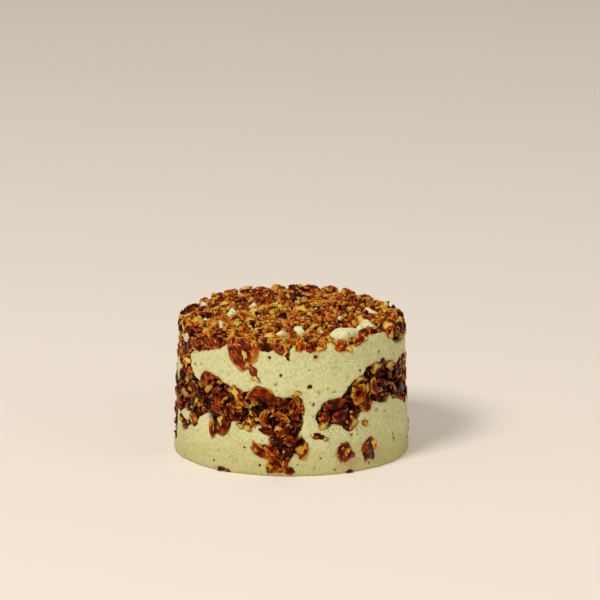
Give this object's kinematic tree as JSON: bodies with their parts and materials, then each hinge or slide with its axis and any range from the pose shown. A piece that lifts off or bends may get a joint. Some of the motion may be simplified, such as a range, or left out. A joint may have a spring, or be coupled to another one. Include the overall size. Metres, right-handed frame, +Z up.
{
  "type": "walnut halva",
  "caption": "Round block of pale halva with a wavy layer of chopped caramelised walnuts through its middle, more walnuts over its top, and single pieces set in its side.",
  "frame": {"origin": "centre of the flat base", "axes": "+Z up, out of the walnut-covered top; -Y towards the side that has the walnut tails; +X to that side's right"},
  "size_m": [0.1754, 0.1762, 0.1061],
  "materials": {
    "halva": "matte, crumbly and finely pitted",
    "walnut": "caramel-glazed walnut pieces, skins and flesh mixed",
    "kernel": "caramel-glazed walnut kernel"
  },
  "bodies": {
    "root": {"halva_block": "halva", "walnut_layer": "walnut", "walnut_top": "walnut", "walnut_quarter": "kernel", "walnut_sliver": "kernel", "walnut_rim_piece": "kernel", "walnut_lump_right": "kernel", "walnut_lump_far_right": "kernel", "walnut_base_left": "kernel", "walnut_base_right": "kernel", "walnut_lump_side": "kernel", "walnut_lump_back": "kernel", "walnut_lump_back_left": "kernel"}
  },
  "joints": []
}
